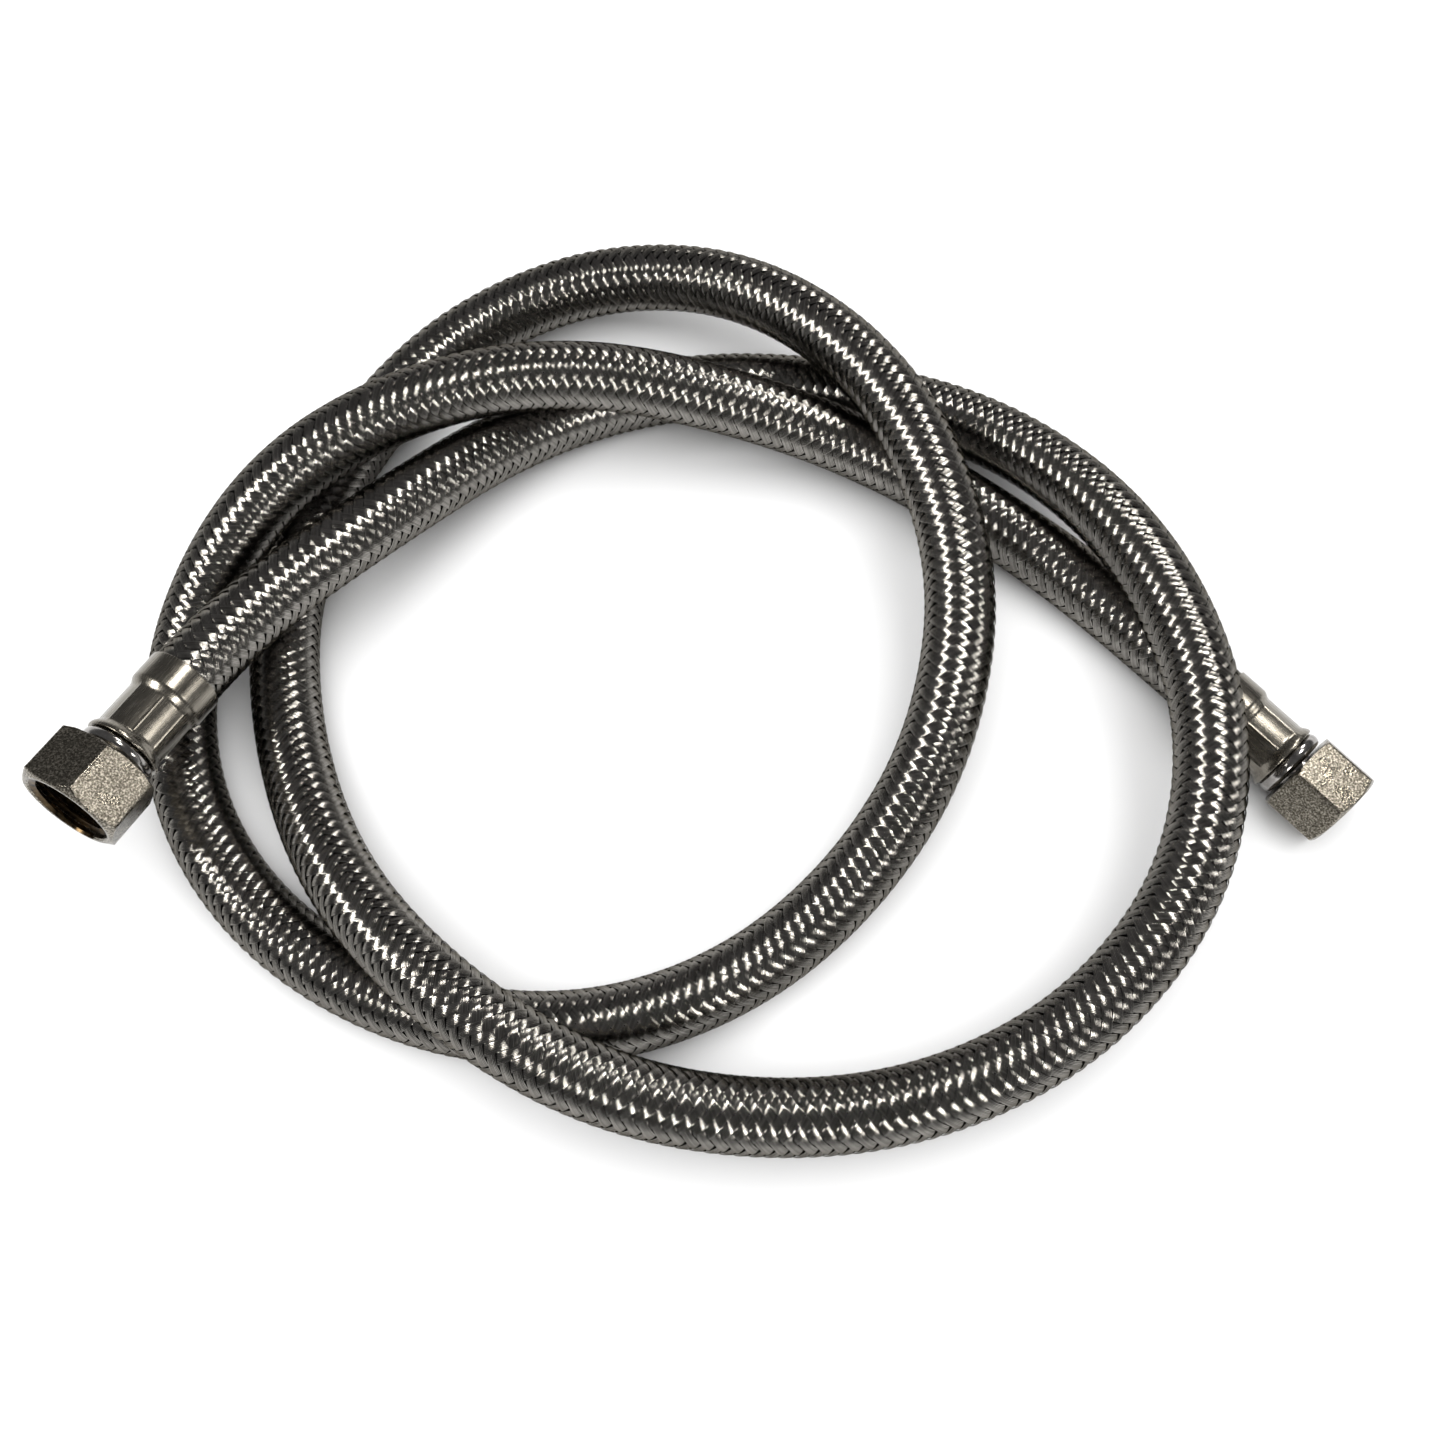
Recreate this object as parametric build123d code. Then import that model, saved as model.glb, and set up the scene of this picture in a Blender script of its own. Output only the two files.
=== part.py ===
from build123d import *
import math
import os
from dataclasses import dataclass

# Braided supply line: a flexible water hose with a swivel nut at each end, lying in loose loops.
# Millimetres, +Z up, with the origin on the floor under the middle of the loops.
# A fitting is drawn along its own axis. "along" is the distance from the hose's exit towards the
# nut's mouth, so the ferrule's lip is at 0, and an outline is a list of (radius, along) points.

# Hose, nominal bore 13
HOSE_RADIUS = 9.0
HOSE_BORE_RADIUS = 6.5
BRAID_THICKNESS = 0.8

# Hose squeezed under a ferrule
CRIMP_RADIUS = 7.75
CRIMP_BRAID_THICKNESS = 0.6
CRIMP_BORE_RADIUS = 6.0
CRIMP_START = 7.5
CRIMP_FULL = 10.5

# Ferrule, a thin pressed sleeve
FERRULE_WALL = 0.4
WAIST_RADIUS = 8.25
END_WALL = 1.5
LIP_ROUND = 0.15
SHOULDER_ROUND = 1.6

# Nipple, shared by both ends
WATERWAY_RADIUS = 4.0
TAIL_START = 2.0
TAIL_TIP_RADIUS = 5.2
STEM_RADIUS = 5.6
BARB_COUNT = 3
BARB_PITCH = 3.2
BARB_RAMP = 1.2
BARB_LENGTH = 2.6
BARREL_RADIUS = 6.4
BEAD_RADIUS = 8.5
BEAD_LENGTH = 3.3
BEAD_ROUND = 1.3
FLANGE_LENGTH = 1.2

# Swivel nut, shared by both ends
NUT_TO_BEAD = 0.9
NUT_TO_FLANGE = 0.6
NECK_CLEARANCE = 0.3
BACK_WALL = 2.3
RELIEF_LENGTH = 3.7
RELIEF_DEPTH = 0.1
MOUTH_CHAMFER = 0.7
END_FACE_SHARE = 0.97
CHAMFER_SLOPE = math.tan(math.radians(30))

# Flat rubber washer, shared by both ends
WASHER_THICKNESS = 2.1
WASHER_TO_FLANGE = 0.1

# Share of the shorter run beside a corner that its arc takes up
CORNER_SHARE = 0.45

# The hose's centreline, as the corners of straight runs joined by arcs, from the inlet ferrule's lip to
# the outlet ferrule's lip. The hose is 9 above the floor where it lies flat, and about 30 where it
# passes over itself.
ROUTE = [
    (-131, -11.5, 34), (-120, 8.5, 28.5), (-90.5, 34, 26.5), (-55.5, 70, 11), (-13.5, 85, 9),
    (33.5, 83, 9), (75.5, 65.5, 15), (105, 27.5, 28), (118.5, -18, 30), (111, -59.5, 27),
    (85.5, -91.5, 24), (50.5, -110, 21), (11.5, -115.5, 21), (-29.5, -109, 25), (-64.5, -89, 30),
    (-95.5, -58, 19), (-113.5, -18, 9), (-117.5, 23, 9), (-103.5, 66, 9), (-75, 100.5, 11),
    (-33.5, 116.5, 16), (9.5, 106.5, 24.5), (44.5, 70, 32), (60.5, 21, 29.5), (53.5, -24, 24),
    (32.5, -57.5, 15), (1.5, -82.5, 10), (-37.5, -94, 9), (-78.5, -88.5, 9), (-116, -66.5, 9),
    (-139, -32.5, 9), (-141, 8, 14.5), (-119, 44, 28.5), (-84.5, 67.5, 31), (-41.5, 76.5, 31),
    (4.5, 70.5, 23), (45.5, 59.5, 11), (79.5, 36, 9), (104.5, 12.5, 10.5), (125.5, -10, 10.5),
]


@dataclass
class Fitting:
    """One end's own sizes. The clocking is a hexagon corner's angle from the upright, in degrees."""

    name: str
    exit_plane: Plane
    ferrule_length: float
    nut_length: float
    across_flats: float
    clocking: float
    thread_minor_radius: float
    thread_major_radius: float
    neck_radius: float
    flange_radius: float
    washer_radius: float
    washer_hole_radius: float

    @property
    def crimp_end(self):
        return self.ferrule_length - END_WALL

    @property
    def bead_end(self):
        return self.ferrule_length + BEAD_LENGTH

    @property
    def nut_start(self):
        return self.bead_end + NUT_TO_BEAD

    @property
    def flange_start(self):
        return self.nut_start + BACK_WALL + NUT_TO_FLANGE

    @property
    def flange_end(self):
        return self.flange_start + FLANGE_LENGTH


def exit_plane(exit_point, next_point):
    """The plane across the hose's end, with Z out along the fitting and X as near upright as it goes."""
    outward = (Vector(*exit_point) - Vector(*next_point)).normalized()
    upright = Vector(0, 0, 1) - outward * outward.Z
    return Plane(origin=exit_point, x_dir=upright, z_dir=outward)


# Inlet: thread G 1/2. Outlet: thread G 3/8, and its nut lies on a flat.
INLET = Fitting(
    name="inlet", exit_plane=exit_plane(ROUTE[0], ROUTE[1]), ferrule_length=23.0, nut_length=14.5,
    across_flats=24.0, clocking=-18.0, thread_minor_radius=9.316, thread_major_radius=10.478,
    neck_radius=6.0, flange_radius=8.4, washer_radius=9.0, washer_hole_radius=6.0,
)
OUTLET = Fitting(
    name="outlet", exit_plane=exit_plane(ROUTE[-1], ROUTE[-2]), ferrule_length=22.0, nut_length=15.0,
    across_flats=21.0, clocking=30.0, thread_minor_radius=7.475, thread_major_radius=8.331,
    neck_radius=5.4, flange_radius=6.9, washer_radius=7.15, washer_hole_radius=4.5,
)


def turned(outline, rounds=()):
    """Turn an outline about the fitting's axis, after rounding each (corner, radius) of `rounds`."""
    face = make_face(Polyline(*outline, close=True))
    for corner, radius in rounds:
        vertex = face.vertices().sort_by_distance(Vector(*corner))[0]
        face = fillet(vertex, radius)
    return revolve(Plane.XZ * face, axis=Axis.Z)


def corner_radius(before, corner, after):
    """The arc's radius at a corner of the route: as large as its two runs allow."""
    run_in = Vector(*corner) - Vector(*before)
    run_out = Vector(*after) - Vector(*corner)
    half_turn = math.radians(run_in.get_angle(run_out)) / 2
    return CORNER_SHARE * min(run_in.length, run_out.length) / math.tan(half_turn)


def hose_path():
    radii = [corner_radius(*ROUTE[i - 1:i + 2]) for i in range(1, len(ROUTE) - 1)]
    print("cord radii:", [round(radius) for radius in radii])
    return FilletPolyline(*ROUTE, radius=radii)


def hose_layer(path, outer, inner, crimp_outer, crimp_inner):
    """One layer of the hose: a tube along the route, squeezed smaller under each ferrule."""
    section = INLET.exit_plane * (Circle(outer) - Circle(inner))
    layer = sweep(section, path=path)
    for fitting in (INLET, OUTLET):
        outline = [
            (inner, 0), (outer, 0), (outer, CRIMP_START), (crimp_outer, CRIMP_FULL),
            (crimp_outer, fitting.crimp_end), (crimp_inner, fitting.crimp_end),
            (crimp_inner, CRIMP_FULL), (inner, CRIMP_START),
        ]
        layer += fitting.exit_plane.location * turned(outline)
    return layer


def braid_sleeve(path):
    return hose_layer(
        path, HOSE_RADIUS, HOSE_RADIUS - BRAID_THICKNESS, CRIMP_RADIUS, CRIMP_RADIUS - CRIMP_BRAID_THICKNESS,
    )


def inner_liner(path):
    return hose_layer(
        path, HOSE_RADIUS - BRAID_THICKNESS, HOSE_BORE_RADIUS, CRIMP_RADIUS - CRIMP_BRAID_THICKNESS,
        CRIMP_BORE_RADIUS,
    )


def crimp_ferrule(fitting):
    """A sleeve over the hose's end: full size at its lip, waisted by the crimp, flared at its end wall."""
    rim = HOSE_RADIUS + FERRULE_WALL
    length = fitting.ferrule_length
    shoulder = (rim, CRIMP_START)
    waist = (WAIST_RADIUS, CRIMP_FULL)
    outline = [
        (HOSE_RADIUS, 0), (rim, 0), shoulder, waist, (WAIST_RADIUS, fitting.crimp_end - END_WALL),
        (rim, length - END_WALL / 2), (rim, length), (BARREL_RADIUS, length),
        (BARREL_RADIUS, fitting.crimp_end), (CRIMP_RADIUS, fitting.crimp_end),
        (CRIMP_RADIUS, CRIMP_FULL), (HOSE_RADIUS, CRIMP_START),
    ]
    rounds = [((rim, 0), LIP_ROUND), (shoulder, SHOULDER_ROUND), (waist, SHOULDER_ROUND)]
    return turned(outline, rounds)


def nipple(fitting):
    """The turned insert: barbed stem in the hose, bead behind the nut, neck through it, and flange."""
    outline = [(WATERWAY_RADIUS, TAIL_START), (TAIL_TIP_RADIUS, TAIL_START), (STEM_RADIUS, TAIL_START + 1)]
    for barb in range(BARB_COUNT):
        start = CRIMP_FULL + barb * BARB_PITCH
        outline += [
            (STEM_RADIUS, start), (CRIMP_BORE_RADIUS, start + BARB_RAMP),
            (CRIMP_BORE_RADIUS, start + BARB_LENGTH), (STEM_RADIUS, start + BARB_LENGTH),
        ]
    bead_corners = [(BEAD_RADIUS, fitting.ferrule_length), (BEAD_RADIUS, fitting.bead_end)]
    outline += [
        (STEM_RADIUS, fitting.crimp_end), (BARREL_RADIUS, fitting.crimp_end),
        (BARREL_RADIUS, fitting.ferrule_length), *bead_corners,
        (fitting.neck_radius, fitting.bead_end), (fitting.neck_radius, fitting.flange_start),
        (fitting.flange_radius, fitting.flange_start), (fitting.flange_radius, fitting.flange_end),
        (WATERWAY_RADIUS, fitting.flange_end),
    ]
    return turned(outline, [(corner, BEAD_ROUND) for corner in bead_corners])


def coupling_nut(fitting):
    """A hexagon with chamfered ends, a hole at the back for the nipple's neck, and a threaded mouth."""
    length = fitting.nut_length
    flat_radius = fitting.across_flats / 2
    tip_radius = flat_radius / math.cos(math.radians(30))
    end_radius = END_FACE_SHARE * flat_radius
    chamfer = (tip_radius - end_radius) * CHAMFER_SLOPE
    hexagon = RegularPolygon(tip_radius, 6, rotation=fitting.clocking)
    envelope = turned([
        (0, 0), (end_radius, 0), (tip_radius, chamfer), (tip_radius, length - chamfer),
        (end_radius, length), (0, length),
    ])
    relief_radius = fitting.thread_major_radius + RELIEF_DEPTH
    relief_end = BACK_WALL + RELIEF_LENGTH
    minor_radius = fitting.thread_minor_radius
    cavity = turned([
        (0, -1), (fitting.neck_radius + NECK_CLEARANCE, -1),
        (fitting.neck_radius + NECK_CLEARANCE, BACK_WALL), (relief_radius, BACK_WALL),
        (relief_radius, relief_end), (minor_radius, relief_end + relief_radius - minor_radius),
        (minor_radius, length - MOUTH_CHAMFER), (minor_radius + MOUTH_CHAMFER, length),
        (minor_radius + MOUTH_CHAMFER, length + 1), (0, length + 1),
    ])
    nut = (extrude(hexagon, length) & envelope) - cavity
    return Pos(0, 0, fitting.nut_start) * nut


def sealing_washer(fitting):
    back = fitting.flange_end + WASHER_TO_FLANGE
    front = back + WASHER_THICKNESS
    return turned([
        (fitting.washer_hole_radius, back), (fitting.washer_radius, back),
        (fitting.washer_radius, front), (fitting.washer_hole_radius, front),
    ])


def fitting_pieces(fitting):
    makers = [crimp_ferrule, nipple, coupling_nut, sealing_washer]
    place = fitting.exit_plane.location
    return {f"{fitting.name}_{make.__name__}": place * make(fitting) for make in makers}


def main():
    path = hose_path()
    pieces = {"braid_sleeve": braid_sleeve(path), "inner_liner": inner_liner(path)}
    pieces.update(fitting_pieces(INLET))
    pieces.update(fitting_pieces(OUTLET))
    os.makedirs("parts", exist_ok=True)
    for name, solid in pieces.items():
        export_step(solid, f"parts/{name}.step")


main()
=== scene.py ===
import math
import bpy
import numpy as np
from mathutils import Matrix, Vector


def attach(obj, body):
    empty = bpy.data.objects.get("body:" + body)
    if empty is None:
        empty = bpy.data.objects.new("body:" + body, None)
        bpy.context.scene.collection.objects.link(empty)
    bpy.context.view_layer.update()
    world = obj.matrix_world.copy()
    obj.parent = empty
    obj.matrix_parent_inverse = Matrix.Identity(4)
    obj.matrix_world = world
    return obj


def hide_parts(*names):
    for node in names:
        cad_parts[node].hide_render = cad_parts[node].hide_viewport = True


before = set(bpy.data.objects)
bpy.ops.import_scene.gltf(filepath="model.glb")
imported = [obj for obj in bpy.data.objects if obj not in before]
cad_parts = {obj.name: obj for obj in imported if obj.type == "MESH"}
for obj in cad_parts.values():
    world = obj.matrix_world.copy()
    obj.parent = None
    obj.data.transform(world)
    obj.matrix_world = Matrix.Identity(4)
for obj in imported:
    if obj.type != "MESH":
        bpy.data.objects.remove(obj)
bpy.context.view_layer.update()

# Braided supply line: a flexible water hose that lies in loose loops, with a swivel nut at each end.
# Everything is in metres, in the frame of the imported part.
MM = 0.001

# Camera, at the photograph's viewing angle. The elevation and the roll are in degrees.
CAMERA_LENS = 36.17
CAMERA_PLACE = (-0.0015, -0.1358, 0.3617)
CAMERA_ELEVATION = 71.1
CAMERA_ROLL = -0.4

# The hose's route: the control points of its centreline, from one ferrule's lip to the other's.
ROUTE = [
    (-0.131, -0.0115, 0.034), (-0.120, 0.0085, 0.0285), (-0.0905, 0.034, 0.0265),
    (-0.0555, 0.070, 0.011), (-0.0135, 0.085, 0.009), (0.0335, 0.083, 0.009),
    (0.0755, 0.0655, 0.015), (0.105, 0.0275, 0.028), (0.1185, -0.018, 0.030),
    (0.111, -0.0595, 0.027), (0.0855, -0.0915, 0.024), (0.0505, -0.110, 0.021),
    (0.0115, -0.1155, 0.021), (-0.0295, -0.109, 0.025), (-0.0645, -0.089, 0.030),
    (-0.0955, -0.058, 0.019), (-0.1135, -0.018, 0.009), (-0.1175, 0.023, 0.009),
    (-0.1035, 0.066, 0.009), (-0.075, 0.1005, 0.011), (-0.0335, 0.1165, 0.016),
    (0.0095, 0.1065, 0.0245), (0.0445, 0.070, 0.032), (0.0605, 0.021, 0.0295),
    (0.0535, -0.024, 0.024), (0.0325, -0.0575, 0.015), (0.0015, -0.0825, 0.010),
    (-0.0375, -0.094, 0.009), (-0.0785, -0.0885, 0.009), (-0.116, -0.0665, 0.009),
    (-0.139, -0.0325, 0.009), (-0.141, 0.008, 0.0145), (-0.119, 0.044, 0.0285),
    (-0.0845, 0.0675, 0.031), (-0.0415, 0.0765, 0.031), (0.0045, 0.0705, 0.023),
    (0.0455, 0.0595, 0.011), (0.0795, 0.036, 0.009), (0.1045, 0.0125, 0.0105),
    (0.1255, -0.010, 0.0105),
]
HOSE_DIAMETER = 0.018

# Woven sleeve: carriers are flat bundles of wires that wind round the hose both ways.
CARRIERS_EACH_WAY = 12
CARRIERS_PER_PIECE = 3
WIRES_PER_CARRIER = 7
LAY_LENGTH = 0.038
HALF_CELL = LAY_LENGTH / CARRIERS_EACH_WAY / 4
CARRIER_WIDTH = 2.3 * MM
CARRIER_CROWN = 0.10 * MM
WIRE_CROWN = 0.05 * MM
WEAVE_RADIUS = 8.62 * MM
WEAVE_SWING = 0.27 * MM
SHADE_TUBE_RADIUS = 8.15 * MM
TUCKED_IN = 1.5 * MM
# A carrier's height at each half cell: over two of the other carriers, then under two.
WEAVE_PROFILE = (0.0, 0.85, 1.0, 0.85, 0.0, -0.85, -1.0, -0.85)
# How carriers and wires stray: the length along the hose of one stray, and its largest size.
CARRIER_DRIFT = (9 * MM, 0.05 * MM)
CARRIER_LIFT = (7 * MM, 0.02 * MM)
WIRE_DRIFT = (5 * MM, 0.015 * MM)
WIRE_LIFT = (5 * MM, 0.006 * MM)
WEAVE_SEED = 12

# Rubber liner. Inside a ferrule it is squeezed between two distances from the lip.
LINER_RADIUS = 7.9 * MM
LINER_BORE_RADIUS = 6.5 * MM
SQUEEZED_RADIUS = 7.15 * MM
SQUEEZED_BORE_RADIUS = 6.0 * MM
SQUEEZE_START = 7.5 * MM
SQUEEZE_FULL = 10.5 * MM
LINER_SPACING = 3 * MM
LINER_SIDES = 32

# Ferrule, along its own axis from its lip. FLARE and CRIMP_END count back from its far end, and
# RIDGE_SPREAD is an angle in radians.
FERRULE_SIDES = 192
RING_STEP = 0.25 * MM
RIM_RADIUS = 9.4 * MM
WAIST_RADIUS = 8.25 * MM
SHOULDER = (7.0 * MM, 9.8 * MM)
FLARE = (3.0 * MM, 0.5 * MM)
CRIMP_BEGIN = (8.0 * MM, 10.0 * MM)
CRIMP_END = (3.4 * MM, 1.4 * MM)
CRIMP_FACETS = 8
FACET_SPREAD = 0.8
FACET_STRENGTH = 0.55
FACET_SINK = 0.008
RIDGE_HEIGHT = 0.10 * MM
RIDGE_SPREAD = 0.025
LIP_ROUND = 0.18 * MM
RIM_ROUND = 0.3 * MM
END_WALL = 1.5 * MM
END_HOLE_RADIUS = 6.42 * MM
SQUEEZED_HOSE_RADIUS = 7.75 * MM

# Nipple, from the barbed tail inside the hose to the flange inside the nut.
NIPPLE_SIDES = 96
WATERWAY_RADIUS = 4.0 * MM
WATERWAY_CHAMFER = 0.3 * MM
TAIL_START = 2.0 * MM
TAIL_TIP_RADIUS = 5.2 * MM
TAIL_TAPER = 1.0 * MM
STEM_RADIUS = 5.6 * MM
BARB_COUNT = 3
BARB_START = 10.5 * MM
BARB_PITCH = 3.2 * MM
BARB_RAMP = 1.2 * MM
BARB_LENGTH = 2.6 * MM
BARB_RADIUS = 6.0 * MM
BARREL_RADIUS = 6.4 * MM
BEAD_WIDTH = 3.5 * MM
BEAD_FOOT_RADIUS = 7.9 * MM
BEAD_HEIGHT = 1.3 * MM
BEAD_TO_FLANGE = 7.1 * MM
FLANGE_LENGTH = 1.2 * MM
FLANGE_EDGE = 0.2 * MM

# Nut, along its own axis from its back face, which is NUT_START past the ferrule.
NUT_START = 4.2 * MM
BACK_WALL = 2.3 * MM
NECK_CLEARANCE = 0.3 * MM
BROKEN_EDGE = 0.2 * MM
MOUTH_CHAMFER = 0.4 * MM
CORNER_ROUND = 0.8 * MM
CHAMFER_SLOPE = math.tan(math.radians(30))
# Shares of half the width across flats: the radius of the cone that cuts the corners at the back
# face, the same at the mouth, and the radius from which the depth of the chamfer is taken.
BACK_FACE_SHARE = 1.04
MOUTH_FACE_SHARE = 0.965
CHAMFER_SHARE = 0.97

# Thread inside the nut. Its section is (place along the axis in pitches, share of the depth).
THREAD_START = 5.6 * MM
THREAD_TO_MOUTH = 0.6 * MM
THREAD_SINK = 0.05 * MM
STEPS_PER_TURN = 72
THREAD_SECTION = ((-0.46, 0), (-0.13, 0.86), (-0.07, 1), (0.07, 1), (0.13, 0.86), (0.46, 0))

# Stage: small lamps for the glints on the metal, and a wide soft fill for the floor.
FLOOR_HALF_SIDE = 1.2
LAMPS = (
    ("key", (0.42, 0.46, 1.1), 7.0),
    ("left", (-0.75, -0.15, 0.85), 6.5),
    ("right", (0.95, -0.2, 0.5), 1.9),
    ("front", (0.15, -0.9, 0.7), 4.5),
    ("back", (0.35, 0.95, 0.7), 4.0),
)
LAMP_SIDE = 0.21
LAMP_COLOUR = (1.0, 0.98, 0.95)
FILL_HEIGHT = 2.1
FILL_SIDE = 3.2
FILL_POWER = 128.0


class Fitting:
    """One end's own sizes, given in millimetres and kept in metres. Its clocking is in degrees."""

    def __init__(self, name, exit_point, next_point, clocking, **sizes):
        self.name = name
        self.place = exit_matrix(exit_point, next_point)
        self.clocking = math.radians(clocking)
        for key, value in sizes.items():
            setattr(self, key, value * MM)


def exit_matrix(exit_point, next_point):
    """Z runs out along the fitting and X as near upright as it goes."""
    outward = (Vector(exit_point) - Vector(next_point)).normalized()
    upright = (Vector((0, 0, 1)) - outward * outward.z).normalized()
    sideways = outward.cross(upright)
    turn = Matrix((upright, sideways, outward)).transposed().to_4x4()
    return Matrix.Translation(exit_point) @ turn


INLET = Fitting(
    "inlet", ROUTE[0], ROUTE[1], clocking=-18, ferrule_length=23, nut_length=14.5, across_flats=24,
    thread_minor=9.316, thread_major=10.478, thread_pitch=1.814, neck=6.0, flange=8.4,
)
OUTLET = Fitting(
    "outlet", ROUTE[-1], ROUTE[-2], clocking=30, ferrule_length=22, nut_length=15, across_flats=21,
    thread_minor=7.475, thread_major=8.331, thread_pitch=1.337, neck=5.4, flange=6.9,
)


def make_camera():
    """The photograph's view: nearly straight down, from the front."""
    data = bpy.data.cameras.new("camera")
    data.lens = CAMERA_LENS
    data.clip_start = 0.01
    camera = bpy.data.objects.new("camera", data)
    bpy.context.scene.collection.objects.link(camera)
    tilt = Matrix.Rotation(math.radians(90 - CAMERA_ELEVATION), 4, "X")
    roll = Matrix.Rotation(math.radians(CAMERA_ROLL), 4, "Z")
    camera.matrix_world = Matrix.Translation(CAMERA_PLACE) @ tilt @ roll
    bpy.context.scene.camera = camera


# The hose's line


def route_curve():
    """The route as one NURBS spline."""
    # The curve is also thickened into a tube of painted shade that shows between the wires.
    curve = bpy.data.curves.new("hose_shade_tube", "CURVE")
    curve.dimensions = "3D"
    spline = curve.splines.new("NURBS")
    spline.points.add(len(ROUTE) - 1)
    for point, place in zip(spline.points, ROUTE):
        point.co = (*place, 1)
    spline.order_u = 3
    spline.use_endpoint_u = True
    spline.resolution_u = 64
    obj = bpy.data.objects.new("hose_shade_tube", curve)
    bpy.context.scene.collection.objects.link(obj)
    return obj


def points_along(curve_object):
    """The spline's own points, as Blender draws it."""
    graph = bpy.context.evaluated_depsgraph_get()
    mesh = bpy.data.meshes.new_from_object(curve_object.evaluated_get(graph))
    points = np.zeros(len(mesh.vertices) * 3)
    mesh.vertices.foreach_get("co", points)
    bpy.data.meshes.remove(mesh)
    return points.reshape(-1, 3)


def thicken(curve_object):
    """Make the bare spline a round tube of painted shade that shows between the wires."""
    curve = curve_object.data
    curve.bevel_depth = SHADE_TUBE_RADIUS
    curve.bevel_resolution = 6
    curve.use_fill_caps = True
    curve.splines[0].resolution_u = 12


def unit(vectors):
    return vectors / np.linalg.norm(vectors, axis=-1, keepdims=True)


def sampled(at, known_at, values):
    return np.stack([np.interp(at, known_at, column) for column in values.T], axis=1)


class Centreline:
    """Points along the hose, run straight on into both ferrules, with a frame that doesn't twist."""

    def __init__(self, points, spacing, into_inlet, into_outlet):
        first = points[0] + into_inlet * unit(points[0] - points[1])
        last = points[-1] + into_outlet * unit(points[-1] - points[-2])
        points = np.vstack([first, points, last])
        steps = np.linalg.norm(np.diff(points, axis=0), axis=1)
        distance = np.concatenate([[0], np.cumsum(steps)])
        tangents = np.gradient(points, distance, axis=0)
        self.along = np.arange(0, distance[-1], spacing)
        self.points = sampled(self.along, distance, points)
        self.tangents = unit(sampled(self.along, distance, tangents))
        self.normals = self.carried_normals()
        self.sides = np.cross(self.tangents, self.normals)

    def carried_normals(self):
        """Each normal is the one before it, turned only as far as the line bends."""
        normals = np.zeros_like(self.points)
        normal = np.array([0.0, 0.0, 1.0])
        for i, tangent in enumerate(self.tangents):
            normal = unit(normal - tangent * normal.dot(tangent))
            normals[i] = normal
        return normals

    def place(self, angle, radius):
        """Points at these angles and radii round the hose, one row for each point along it."""
        across = np.cos(angle)[..., None] * self.normals[:, None, :]
        up = np.sin(angle)[..., None] * self.sides[:, None, :]
        return self.points[:, None, :] + radius[..., None] * (across + up)


# Meshes and outlines


def mesh_of(name, points, faces):
    """A smooth-shaded object made of quads."""
    mesh = bpy.data.meshes.new(name)
    mesh.vertices.add(len(points))
    mesh.vertices.foreach_set("co", np.asarray(points, np.float32).ravel())
    mesh.loops.add(4 * len(faces))
    mesh.loops.foreach_set("vertex_index", np.asarray(faces, np.int32).ravel())
    mesh.polygons.add(len(faces))
    mesh.polygons.foreach_set("loop_start", np.arange(0, 4 * len(faces), 4, dtype=np.int32))
    mesh.update(calc_edges=True)
    mesh.validate()
    mesh.shade_smooth()
    obj = bpy.data.objects.new(name, mesh)
    bpy.context.scene.collection.objects.link(obj)
    return obj


def ring_solid(name, rings, place):
    """A closed solid from a loop of rings, each with as many points round the axis as the others."""
    rings = np.asarray(rings)
    count, sides = rings.shape[:2]
    ring = np.arange(count)[:, None] * sides
    following = np.roll(np.arange(count), -1)[:, None] * sides
    side = np.arange(sides)[None, :]
    beside = (side + 1) % sides
    faces = np.stack([ring + side, ring + beside, following + beside, following + side], axis=-1)
    obj = mesh_of(name, rings.reshape(-1, 3), faces.reshape(-1, 4))
    obj.data.set_sharp_from_angle(angle=math.radians(28))
    obj.data.transform(place)
    return obj


def round_the_axis(sides):
    return np.arange(sides) * 2 * math.pi / sides


def ring_points(radius, angle, along):
    """One ring round the axis. The radius is one number, or one for each angle."""
    heights = np.full(len(angle), along)
    return np.stack([radius * np.cos(angle), radius * np.sin(angle), heights], axis=1)


def arc(centre, radius, start, end, steps=4):
    """Points of an arc in an outline, with angles in degrees from the radial direction."""
    turns = np.radians(np.linspace(start, end, steps + 1))
    return [(centre[0] + radius * math.cos(t), centre[1] + radius * math.sin(t)) for t in turns]


def smooth_step(value, start, end):
    share = np.clip((value - start) / (end - start), 0, 1)
    return share * share * (3 - 2 * share)


# Woven sleeve


def wandering(rng, along, spacing, size, count=1):
    """Small smooth offsets along the hose, one column for each of `count` strands."""
    knots = np.arange(0, along[-1] + 2 * spacing, spacing)
    columns = [np.interp(along, knots, rng.uniform(-size, size, len(knots))) for _ in range(count)]
    return np.stack(columns, axis=1)


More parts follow.
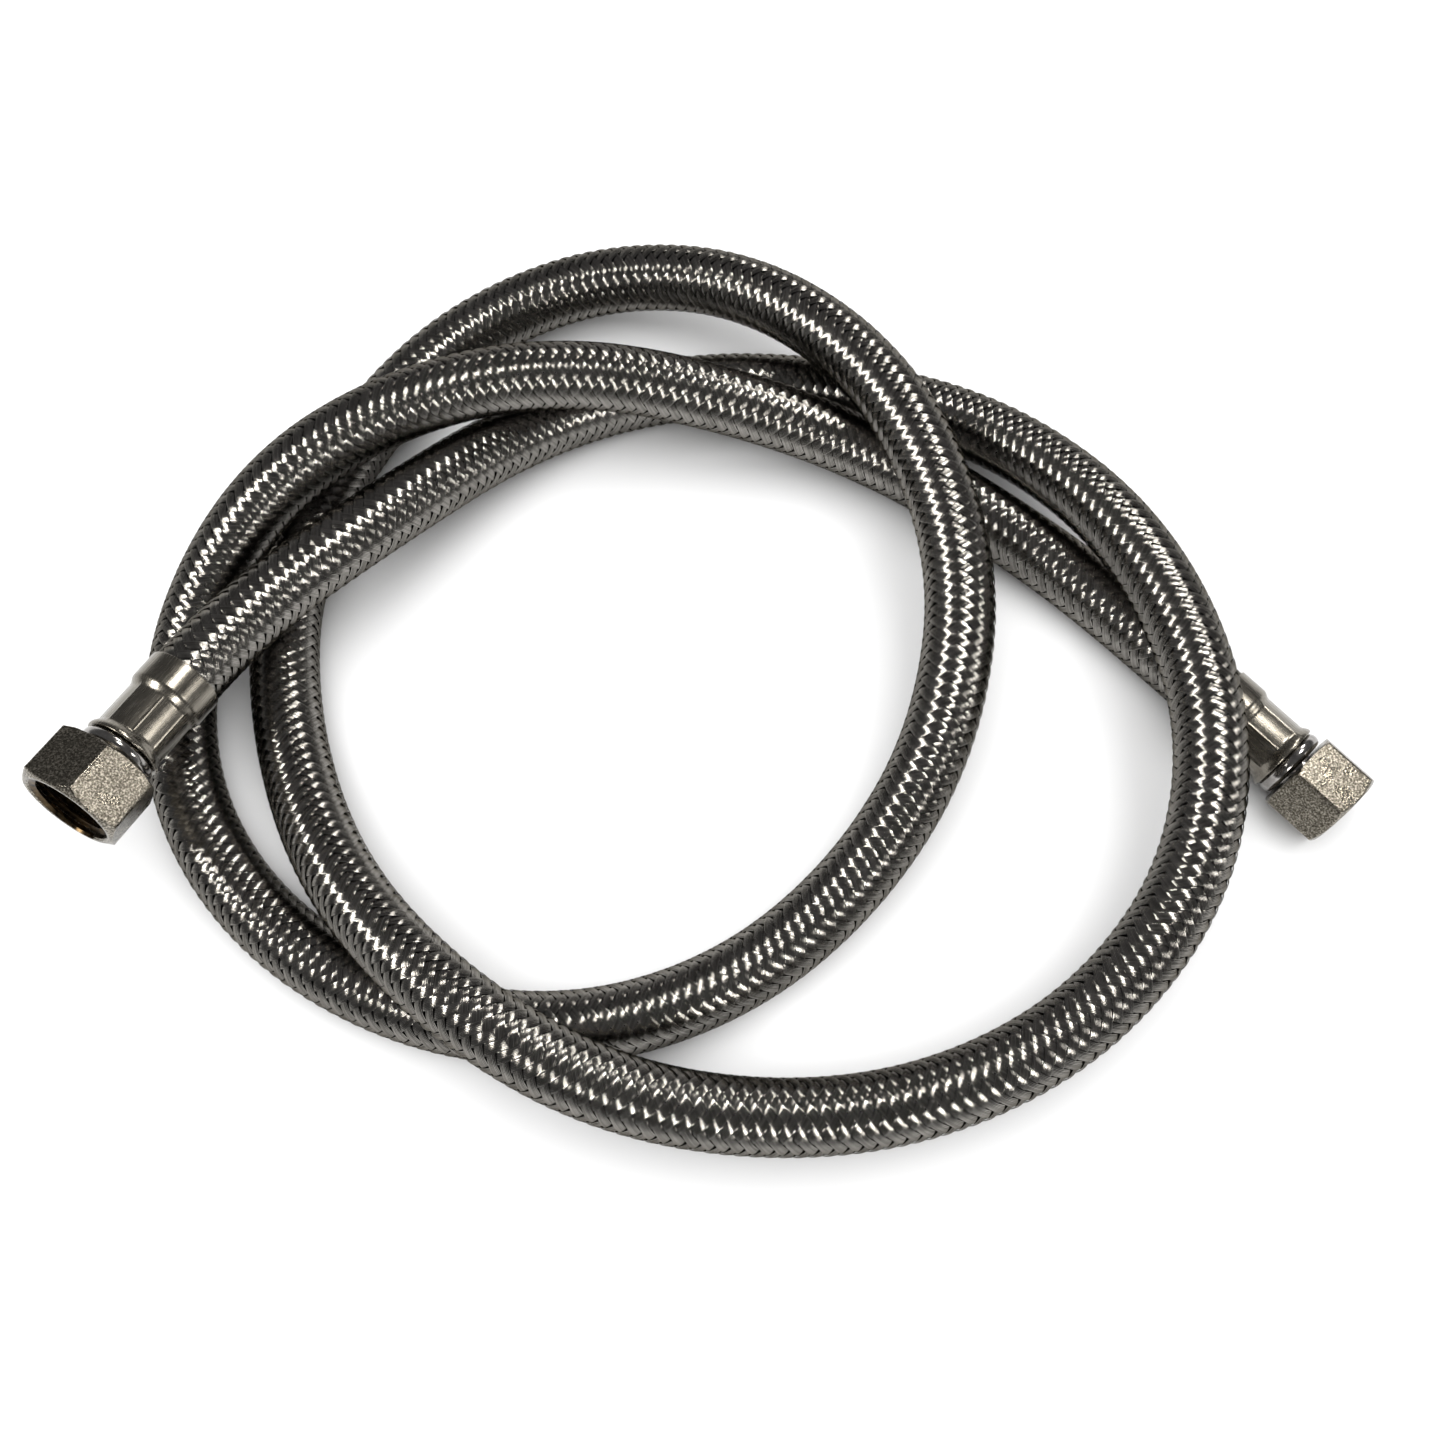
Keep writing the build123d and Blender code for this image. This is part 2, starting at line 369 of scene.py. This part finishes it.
def carrier_points(line, rng, index, way):
    """One carrier, with a row for each point along the hose: three points across each wire."""
    half_cells = np.arange(len(line.along))
    weave = way * np.array(WEAVE_PROFILE)[(4 * index + way * half_cells + 1) % len(WEAVE_PROFILE)]
    middle = 2 * math.pi * (index / CARRIERS_EACH_WAY + way * line.along / LAY_LENGTH)
    slant = math.atan(2 * math.pi * WEAVE_RADIUS / LAY_LENGTH)
    wire_width = CARRIER_WIDTH / WIRES_PER_CARRIER
    wire_places = (np.arange(WIRES_PER_CARRIER) - (WIRES_PER_CARRIER - 1) / 2) * wire_width
    drift = wandering(rng, line.along, *CARRIER_DRIFT)
    lift = wandering(rng, line.along, *CARRIER_LIFT)
    wire_drift = wandering(rng, line.along, *WIRE_DRIFT, WIRES_PER_CARRIER)
    wire_lift = wandering(rng, line.along, *WIRE_LIFT, WIRES_PER_CARRIER)
    across = (wire_places + drift + wire_drift)[:, :, None] + wire_width * np.array([-0.5, 0, 0.5])
    angle = middle[:, None, None] + across / math.cos(slant) / WEAVE_RADIUS
    bundle = CARRIER_CROWN * (2 * wire_places / CARRIER_WIDTH) ** 2
    crown = WIRE_CROWN * np.array([-0.5, 0.5, -0.5])
    radius = WEAVE_RADIUS + WEAVE_SWING * weave[:, None, None]
    radius = radius + (lift + wire_lift - bundle)[:, :, None] + crown
    rows = len(line.along)
    return line.place(angle.reshape(rows, -1), radius.reshape(rows, -1))


def strip_faces(rows, columns, first):
    """Two quads across each wire, none between wires."""
    row = np.arange(rows - 1)[:, None] * columns
    left = np.arange(columns)[np.arange(columns) % 3 != 2][None, :]
    corner = first + row + left
    faces = np.stack([corner, corner + 1, corner + 1 + columns, corner + columns], axis=-1)
    return faces.reshape(-1, 4)


def braid_piece(name, line, rng, indices, way):
    """A few carriers that wind the same way, in one mesh, with each wire's tone and painted valley
    shade as an attribute.
    """
    all_points, all_faces, tones_and_valley_shade = [], [], []
    count = 0
    for index in indices:
        points = carrier_points(line, rng, index, way)
        rows, columns = points.shape[:2]
        faces = strip_faces(rows, columns, count)
        all_faces.append(faces if way > 0 else faces[:, ::-1])
        all_points.append(points.reshape(-1, 3))
        count += rows * columns
        wire_tones = rng.uniform(0.7, 1.0, WIRES_PER_CARRIER)
        # Each wire is half as bright at its edges as at its crest: painted shade in the valleys
        # between wires.
        valley_shade_across_wire = np.array([0.5, 1.0, 0.5])
        tones_and_valley_shade.append(np.tile((wire_tones[:, None] * valley_shade_across_wire).ravel(), rows))
    obj = mesh_of(name, np.vstack(all_points), np.vstack(all_faces))
    tone = obj.data.attributes.new("tone", "FLOAT", "POINT")
    tone.data.foreach_set("value", np.concatenate(tones_and_valley_shade).astype(np.float32))
    return obj


def braid_pieces(line):
    rng = np.random.default_rng(WEAVE_SEED)
    pieces = []
    for way, label in ((1, "right"), (-1, "left")):
        for start in range(0, CARRIERS_EACH_WAY, CARRIERS_PER_PIECE):
            name = f"braid_{label}_{start // CARRIERS_PER_PIECE}"
            indices = range(start, start + CARRIERS_PER_PIECE)
            pieces.append(braid_piece(name, line, rng, indices, way))
    return pieces


# Liner


def squeezed(line, into_inlet, into_outlet):
    """How far the ferrules squeeze the hose at each point along it, from 0 to 1."""
    from_inlet = line.along
    from_outlet = line.along[-1] - line.along
    inlet = 1 - smooth_step(from_inlet, into_inlet - SQUEEZE_FULL, into_inlet - SQUEEZE_START)
    outlet = 1 - smooth_step(from_outlet, into_outlet - SQUEEZE_FULL, into_outlet - SQUEEZE_START)
    return np.maximum(inlet, outlet)[:, None]


def liner(points):
    """The rubber tube inside the braid, pressed onto the nipples at both ends."""
    into_inlet = INLET.ferrule_length - END_WALL
    into_outlet = OUTLET.ferrule_length - END_WALL
    line = Centreline(points, LINER_SPACING, into_inlet, into_outlet)
    share = squeezed(line, into_inlet, into_outlet)
    angle = np.tile(round_the_axis(LINER_SIDES), (len(line.along), 1))
    outside = line.place(angle, LINER_RADIUS + (SQUEEZED_RADIUS - LINER_RADIUS) * share)
    bore = line.place(angle, LINER_BORE_RADIUS + (SQUEEZED_BORE_RADIUS - LINER_BORE_RADIUS) * share)
    return ring_solid("liner_tube", np.concatenate([outside, bore[::-1]]), Matrix.Identity(4))


# Ferrule


def ferrule_radius(fitting, along):
    """Full size at the lip, waisted by the crimp and flared again at the end wall."""
    end = fitting.ferrule_length
    shoulder = smooth_step(along, *SHOULDER)
    flare = smooth_step(along, end - FLARE[0], end - FLARE[1])
    return RIM_RADIUS - (RIM_RADIUS - WAIST_RADIUS) * shoulder * (1 - flare)


def crimp_share(fitting, along):
    """How far the crimping dies shape the sleeve here, from 0 to 1."""
    end = fitting.ferrule_length
    begun = smooth_step(along, *CRIMP_BEGIN)
    ended = smooth_step(along, end - CRIMP_END[0], end - CRIMP_END[1])
    return begun * (1 - ended)


def crimped(radius, angle, share):
    """A ring's radii, with the flats of the crimping dies and the thin ridges between them."""
    facet = 2 * math.pi / CRIMP_FACETS
    off_middle = (angle + facet / 2) % facet - facet / 2
    from_ridge = facet / 2 - np.abs(off_middle)
    flat = 1 / np.cos(FACET_SPREAD * off_middle) - 1
    ridge = RIDGE_HEIGHT * np.exp(-(from_ridge / RIDGE_SPREAD) ** 2)
    return radius * (1 + share * (FACET_STRENGTH * flat - FACET_SINK)) + share * ridge


def ferrule(fitting):
    """The pressed sleeve that holds the hose on the nipple."""
    angle = round_the_axis(FERRULE_SIDES)
    end = fitting.ferrule_length
    body = np.arange(2 * RING_STEP, end - RIM_ROUND, RING_STEP)
    outside = arc((RIM_RADIUS - LIP_ROUND, LIP_ROUND), LIP_ROUND, -90, 0)
    outside += [(ferrule_radius(fitting, along), along) for along in body]
    outside += arc((RIM_RADIUS - RIM_ROUND, end - RIM_ROUND), RIM_ROUND, 20, 90)
    inside = [
        (END_HOLE_RADIUS, end), (END_HOLE_RADIUS, end - END_WALL),
        (SQUEEZED_HOSE_RADIUS, end - END_WALL), (SQUEEZED_HOSE_RADIUS, SQUEEZE_FULL),
        (HOSE_DIAMETER / 2, SQUEEZE_START), (HOSE_DIAMETER / 2, 0.0),
    ]
    rings = []
    for radius, along in outside:
        shaped = crimped(radius, angle, crimp_share(fitting, along))
        rings.append(ring_points(shaped, angle, along))
    rings += [ring_points(radius, angle, along) for radius, along in inside]
    return ring_solid(f"{fitting.name}_ferrule", rings, fitting.place)


# Nipple. Each outline is a list of (radius, along).


def nipple_tail():
    """Outline of the barbed tail that grips the liner."""
    outline = [
        (WATERWAY_RADIUS, TAIL_START), (TAIL_TIP_RADIUS, TAIL_START),
        (STEM_RADIUS, TAIL_START + TAIL_TAPER),
    ]
    for barb in range(BARB_COUNT):
        start = BARB_START + BARB_PITCH * barb
        outline += [
            (STEM_RADIUS, start), (BARB_RADIUS, start + BARB_RAMP),
            (BARB_RADIUS, start + BARB_LENGTH), (STEM_RADIUS, start + BARB_LENGTH),
        ]
    return outline


def nipple_bead(start):
    """Outline of the barrel in the ferrule's end wall and of the round bead outside it."""
    outline = [
        (STEM_RADIUS, start - END_WALL), (BARREL_RADIUS, start - END_WALL), (BARREL_RADIUS, start),
    ]
    for turn in np.radians(np.linspace(-90, 90, 25)):
        along = start + BEAD_WIDTH / 2 * (1 + math.sin(turn))
        outline.append((BEAD_FOOT_RADIUS + BEAD_HEIGHT * math.cos(turn), along))
    return outline


def nipple_flange(fitting, start):
    """Outline of the flange that holds the nut, from the neck to the waterway."""
    end = start + FLANGE_LENGTH
    return [
        (fitting.neck, start), (fitting.flange - FLANGE_EDGE, start),
        (fitting.flange, start + FLANGE_EDGE), (fitting.flange, end - FLANGE_EDGE),
        (fitting.flange - FLANGE_EDGE, end), (WATERWAY_RADIUS + WATERWAY_CHAMFER, end),
        (WATERWAY_RADIUS, end - WATERWAY_CHAMFER),
    ]


def nipple(fitting):
    """The turned insert that shows as a polished bead, with its neck and flange inside the nut."""
    bead_start = fitting.ferrule_length
    outline = nipple_tail() + nipple_bead(bead_start)
    outline.append((fitting.neck, bead_start + BEAD_WIDTH))
    outline += nipple_flange(fitting, bead_start + BEAD_TO_FLANGE)
    angle = round_the_axis(NIPPLE_SIDES)
    rings = [ring_points(radius, angle, along) for radius, along in outline]
    return ring_solid(f"{fitting.name}_nipple_turned", rings, fitting.place)


# Nut


def hexagon_outline(fitting):
    """Points round a hexagon with slightly rounded corners."""
    reach = (fitting.across_flats / 2 - CORNER_ROUND) / math.cos(math.radians(30))
    corners = []
    for side in range(6):
        heading = fitting.clocking + side * math.pi / 3
        centre = reach * np.array([math.cos(heading), math.sin(heading)])
        turns = heading + np.radians(np.linspace(-30, 30, 7))
        corners.append(centre + CORNER_ROUND * np.stack([np.cos(turns), np.sin(turns)], axis=1))
    outline = []
    for side in range(6):
        start = corners[side][-1]
        end = corners[(side + 1) % 6][0]
        outline.extend(corners[side])
        outline.extend(start + (end - start) * share for share in np.linspace(0, 1, 12)[1:-1])
    return np.array(outline)


def nut_outside(fitting, outline):
    """Rings from the back to the mouth, close together where a cone cuts the corners at each end."""
    length = fitting.nut_length
    flat = fitting.across_flats / 2
    reach = np.linalg.norm(outline, axis=1, keepdims=True)
    chamfer = (flat / math.cos(math.radians(30)) - CHAMFER_SHARE * flat) * CHAMFER_SLOPE
    near_end = np.linspace(0, 1.15, 12) * chamfer
    between = np.linspace(1.5 * chamfer, length - 1.5 * chamfer, 8)
    rings = []
    for along in np.concatenate([near_end, between, length - near_end[::-1]]):
        end_radius = (BACK_FACE_SHARE if along < length / 2 else MOUTH_FACE_SHARE) * flat
        limit = end_radius + min(along, length - along) / CHAMFER_SLOPE
        cut = outline * np.minimum(reach, limit) / reach
        rings.append(np.column_stack([cut, np.full(len(outline), along)]))
    return rings


def nut_inside(fitting, outline):
    """Rings from the mouth down the bore, and out through the hole for the nipple's neck."""
    length = fitting.nut_length
    bore = fitting.thread_major
    hole = fitting.neck + NECK_CLEARANCE
    inside = [
        (bore + MOUTH_CHAMFER, length), (bore, length - MOUTH_CHAMFER),
        (bore, BACK_WALL + BROKEN_EDGE), (bore - BROKEN_EDGE, BACK_WALL),
        (hole + BROKEN_EDGE, BACK_WALL), (hole, BACK_WALL - BROKEN_EDGE),
        (hole, BROKEN_EDGE), (hole + BROKEN_EDGE, 0.0),
    ]
    angle = np.arctan2(outline[:, 1], outline[:, 0])
    return [ring_points(radius, angle, along) for radius, along in inside]


def nut_place(fitting):
    return fitting.place @ Matrix.Translation((0, 0, fitting.ferrule_length + NUT_START))


def nut(fitting):
    """The hexagon nut. The faces inside it take its second material."""
    outline = hexagon_outline(fitting)
    inside = nut_inside(fitting, outline)
    rings = nut_outside(fitting, outline) + inside
    obj = ring_solid(f"{fitting.name}_nut_body", rings, nut_place(fitting))
    materials = np.zeros(len(obj.data.polygons), np.int32)
    materials[-len(inside) * len(outline):] = 1
    obj.data.polygons.foreach_set("material_index", materials)
    return obj


def thread(fitting):
    """The helical ridge inside the nut, fading in and out at its ends."""
    pitch = fitting.thread_pitch
    turns = (fitting.nut_length - THREAD_START - THREAD_TO_MOUTH) / pitch
    steps = int(turns * STEPS_PER_TURN)
    angle = np.arange(steps + 1) * 2 * math.pi / STEPS_PER_TURN
    fade = np.clip(np.minimum(angle, angle[-1] - angle) / (math.pi / 2), 0, 1)
    root = fitting.thread_major + THREAD_SINK
    columns = []
    for place, depth in THREAD_SECTION:
        radius = root - (root - fitting.thread_minor) * depth * fade
        height = THREAD_START + pitch * (angle / (2 * math.pi) + place)
        columns.append(np.stack([radius * np.cos(angle), radius * np.sin(angle), height], axis=1))
    points = np.stack(columns, axis=1)
    width = len(THREAD_SECTION)
    corner = np.arange(steps)[:, None] * width + np.arange(width - 1)[None, :]
    faces = np.stack([corner, corner + width, corner + width + 1, corner + 1], axis=-1)
    obj = mesh_of(f"{fitting.name}_nut_thread", points.reshape(-1, 3), faces.reshape(-1, 4))
    obj.data.set_sharp_from_angle(angle=math.radians(35))
    obj.data.transform(nut_place(fitting))
    return obj


# Material nodes


def new_material(name, metallic=0.0):
    material = bpy.data.materials.new(name)
    material.use_nodes = True
    tree = material.node_tree
    shader = tree.nodes["Principled BSDF"]
    shader.inputs["Metallic"].default_value = metallic
    return material, tree, shader


def noise(tree, scale, detail, stretch=(1, 1, 1), turn=(0, 0, 0)):
    """Noise in the part's own coordinates, its grain drawn out along the axes of a turned frame."""
    place = tree.nodes.new("ShaderNodeTexCoord")
    mapping = tree.nodes.new("ShaderNodeMapping")
    mapping.vector_type = "TEXTURE"
    mapping.inputs["Scale"].default_value = stretch
    mapping.inputs["Rotation"].default_value = turn
    texture = tree.nodes.new("ShaderNodeTexNoise")
    texture.inputs["Scale"].default_value = scale
    texture.inputs["Detail"].default_value = detail
    tree.links.new(place.outputs["Object"], mapping.inputs["Vector"])
    tree.links.new(mapping.outputs["Vector"], texture.inputs["Vector"])
    return texture.outputs["Fac"]


def ramp(tree, source, *stops):
    """A colour ramp from (position, colour) stops."""
    node = tree.nodes.new("ShaderNodeValToRGB")
    elements = node.color_ramp.elements
    while len(elements) < len(stops):
        elements.new(0.5)
    for element, (position, colour) in zip(elements, stops):
        element.position = position
        element.color = (*colour, 1)
    tree.links.new(source, node.inputs["Fac"])
    return node.outputs["Color"]


def spread(tree, source, low, high):
    """A value from 0 to 1, mapped to low to high."""
    node = tree.nodes.new("ShaderNodeMapRange")
    node.inputs["To Min"].default_value = low
    node.inputs["To Max"].default_value = high
    tree.links.new(source, node.inputs["Value"])
    return node.outputs["Result"]


def product(tree, first, second):
    node = tree.nodes.new("ShaderNodeMath")
    node.operation = "MULTIPLY"
    tree.links.new(first, node.inputs[0])
    tree.links.new(second, node.inputs[1])
    return node.outputs["Value"]


def bump(tree, shader, height, strength, distance):
    node = tree.nodes.new("ShaderNodeBump")
    node.inputs["Strength"].default_value = strength
    node.inputs["Distance"].default_value = distance
    tree.links.new(height, node.inputs["Height"])
    tree.links.new(node.outputs["Normal"], shader.inputs["Normal"])


# Materials


def braid_material():
    """Drawn stainless wire: each wire its own tone, painted shade in the valleys between wires, and
    patches of tarnish.
    """
    material, tree, shader = new_material("braid_wire", metallic=1.0)
    tone = tree.nodes.new("ShaderNodeAttribute")
    tone.attribute_name = "tone"
    patches = spread(tree, noise(tree, scale=260, detail=3), low=0.75, high=1.15)
    # The tone attribute brings each wire's random tone and the painted valley shade; the noise
    # patches are tarnish.
    tarnish_and_valley_shade = product(tree, tone.outputs["Fac"], patches)
    colour = ramp(tree, tarnish_and_valley_shade, (0.3, (0.045, 0.042, 0.037)), (1.0, (0.37, 0.355, 0.33)))
    tree.links.new(colour, shader.inputs["Base Color"])
    shader.inputs["Specular Tint"].default_value = (0.35, 0.34, 0.32, 1)
    roughness = spread(tree, noise(tree, scale=900, detail=2), low=0.13, high=0.20)
    tree.links.new(roughness, shader.inputs["Roughness"])
    return material


def shade_tube_material():
    """What shows through the weave: a near-black tube of painted shade for the inner wires over black
    rubber, with a faint grain.
    """
    material, tree, shader = new_material("braid_shade", metallic=0.3)
    shader.inputs["Roughness"].default_value = 0.7
    grain = noise(tree, scale=1400, detail=2)
    colour = ramp(tree, grain, (0.35, (0.008, 0.008, 0.008)), (0.7, (0.035, 0.033, 0.030)))
    tree.links.new(colour, shader.inputs["Base Color"])
    return material


def steel_material(name, heading):
    """Pressed stainless: fine drawing streaks along the sleeve, and soft stains."""
    material, tree, shader = new_material(name, metallic=1.0)
    streaks = noise(tree, scale=2400, detail=3, stretch=(1, 1, 9), turn=heading)
    stains = noise(tree, scale=130, detail=4)
    streak_tone = spread(tree, streaks, low=0.65, high=1.2)
    stain_tone = spread(tree, stains, low=0.7, high=1.2)
    tone = product(tree, streak_tone, stain_tone)
    colour = ramp(tree, tone, (0.35, (0.075, 0.067, 0.052)), (1.0, (0.24, 0.222, 0.19)))
    tree.links.new(colour, shader.inputs["Base Color"])
    tree.links.new(spread(tree, streaks, low=0.18, high=0.34), shader.inputs["Roughness"])
    bump(tree, shader, tone, strength=0.12, distance=0.12 * MM)
    return material


def plated_material():
    """Nickel plate over a coarse, rolled hexagon bar: bright pits and grains that catch the light."""
    material, tree, shader = new_material("nickel_plate", metallic=1.0)
    grain = noise(tree, scale=2200, detail=3)
    broad = noise(tree, scale=220, detail=3)
    colour = ramp(
        tree, grain,
        (0.35, (0.065, 0.058, 0.045)), (0.5, (0.15, 0.136, 0.11)), (0.66, (0.42, 0.385, 0.325)),
    )
    tree.links.new(colour, shader.inputs["Base Color"])
    tree.links.new(spread(tree, broad, low=0.22, high=0.34), shader.inputs["Roughness"])
    bump(tree, shader, grain, strength=0.45, distance=0.15 * MM)
    return material


def bore_material():
    """The machined brass inside a nut: warm, with stains, and kept near black as painted shade in the
    bore.
    """
    material, tree, shader = new_material("shaded_brass", metallic=1.0)
    stains = noise(tree, scale=700, detail=3)
    # Painted shade: these colours are far darker than bare brass because the faces sit deep in the
    # bore.
    colour = ramp(tree, stains, (0.3, (0.010, 0.007, 0.004)), (0.7, (0.11, 0.075, 0.038)))
    tree.links.new(colour, shader.inputs["Base Color"])
    tree.links.new(spread(tree, stains, low=0.2, high=0.4), shader.inputs["Roughness"])
    bump(tree, shader, stains, strength=0.3, distance=0.08 * MM)
    return material


def polished_material():
    """Turned and polished plate, with faint wear."""
    material, tree, shader = new_material("polished_plate", metallic=1.0)
    wear = noise(tree, scale=500, detail=3)
    colour = ramp(tree, wear, (0.3, (0.22, 0.21, 0.20)), (0.7, (0.38, 0.365, 0.35)))
    tree.links.new(colour, shader.inputs["Base Color"])
    tree.links.new(spread(tree, wear, low=0.12, high=0.2), shader.inputs["Roughness"])
    bump(tree, shader, wear, strength=0.05, distance=0.05 * MM)
    return material


def rubber_material():
    """Black rubber with a fine moulded grain."""
    material, tree, shader = new_material("black_rubber")
    grain = noise(tree, scale=1200, detail=3)
    colour = ramp(tree, grain, (0.3, (0.012, 0.012, 0.012)), (0.7, (0.035, 0.034, 0.033)))
    tree.links.new(colour, shader.inputs["Base Color"])
    tree.links.new(spread(tree, grain, low=0.5, high=0.75), shader.inputs["Roughness"])
    bump(tree, shader, grain, strength=0.3, distance=0.08 * MM)
    return material


def floor_material():
    """Plain pale card."""
    material, tree, shader = new_material("pale_floor")
    shader.inputs["Roughness"].default_value = 0.85
    clouds = noise(tree, scale=6, detail=2)
    colour = ramp(tree, clouds, (0.3, (0.73, 0.73, 0.73)), (0.7, (0.76, 0.76, 0.76)))
    tree.links.new(colour, shader.inputs["Base Color"])
    return material


def give(obj, *materials):
    obj.data.materials.clear()
    for material in materials:
        obj.data.materials.append(material)


# Stage


def make_floor():
    side = FLOOR_HALF_SIDE
    corners = [(-side, -side, 0), (side, -side, 0), (side, side, 0), (-side, side, 0)]
    floor = mesh_of("floor", np.array(corners), np.array([[0, 1, 2, 3]]))
    give(floor, floor_material())


def make_world():
    """White like the floor below the horizon, and a dim room above it."""
    world = bpy.data.worlds.new("studio")
    world.use_nodes = True
    tree = world.node_tree
    direction = tree.nodes.new("ShaderNodeTexCoord")
    split = tree.nodes.new("ShaderNodeSeparateXYZ")
    tree.links.new(direction.outputs["Generated"], split.inputs["Vector"])
    colour = ramp(
        tree, split.outputs["Z"],
        (0.0, (1.0, 1.0, 1.0)), (0.03, (0.45, 0.455, 0.46)),
        (0.10, (0.26, 0.262, 0.265)), (0.25, (0.150, 0.150, 0.152)),
    )
    tree.links.new(colour, tree.nodes["Background"].inputs["Color"])
    bpy.context.scene.world = world
    bpy.context.scene.view_settings.view_transform = "Standard"


def area_light(name, place, side, power):
    """A square light that faces the origin."""
    data = bpy.data.lights.new(name, "AREA")
    data.shape = "SQUARE"
    data.size = side
    data.energy = power
    light = bpy.data.objects.new(name, data)
    light.location = place
    light.rotation_euler = (Vector((0, 0, 0)) - Vector(place)).to_track_quat("-Z", "Y").to_euler()
    bpy.context.scene.collection.objects.link(light)
    return light


def make_lights():
    """The lamps show only in reflections, and the fill only in diffuse light."""
    for name, place, power in LAMPS:
        lamp = area_light(name, place, LAMP_SIDE, power)
        lamp.data.color = LAMP_COLOUR
        lamp.visible_diffuse = False
    fill = area_light("fill", (0, 0, FILL_HEIGHT), FILL_SIDE, FILL_POWER)
    fill.visible_glossy = False


# Assembly

make_camera()
shade_tube = route_curve()
core_points = points_along(shade_tube)
thicken(shade_tube)
give(shade_tube, shade_tube_material())
carriers = braid_pieces(Centreline(core_points, HALF_CELL, TUCKED_IN, TUCKED_IN))
wire = braid_material()
for piece in carriers:
    give(piece, wire)
for piece in [shade_tube, *carriers]:
    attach(piece, "hose")
    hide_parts("braid_sleeve")

plate = plated_material()
# The brass for each nut's bore and thread carries painted shade.
brass = bore_material()
polish = polished_material()
rubber = rubber_material()
for fitting in (INLET, OUTLET):
    end = fitting.name
    sleeve = ferrule(fitting)
    give(sleeve, steel_material(f"{end}_pressed_steel", heading=tuple(fitting.place.to_euler())))
    insert = nipple(fitting)
    give(insert, polish)
    shell = nut(fitting)
    give(shell, plate, brass)
    ridge = thread(fitting)
    give(ridge, brass)
    for piece, node, slot in (
        (sleeve, "crimp_ferrule", "ferrule"), (insert, "nipple", "nipple"),
        (shell, "coupling_nut", "nut"), (ridge, "coupling_nut", "nut"),
    ):
        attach(piece, f"{end}_nut" if slot == "nut" else "hose")
        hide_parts(f"{end}_{node}")
    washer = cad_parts[f"{end}_sealing_washer"]
    give(washer, rubber)

tube = liner(core_points)
give(tube, rubber)
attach(tube, "hose")
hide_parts("inner_liner")

make_floor()
make_world()
make_lights()
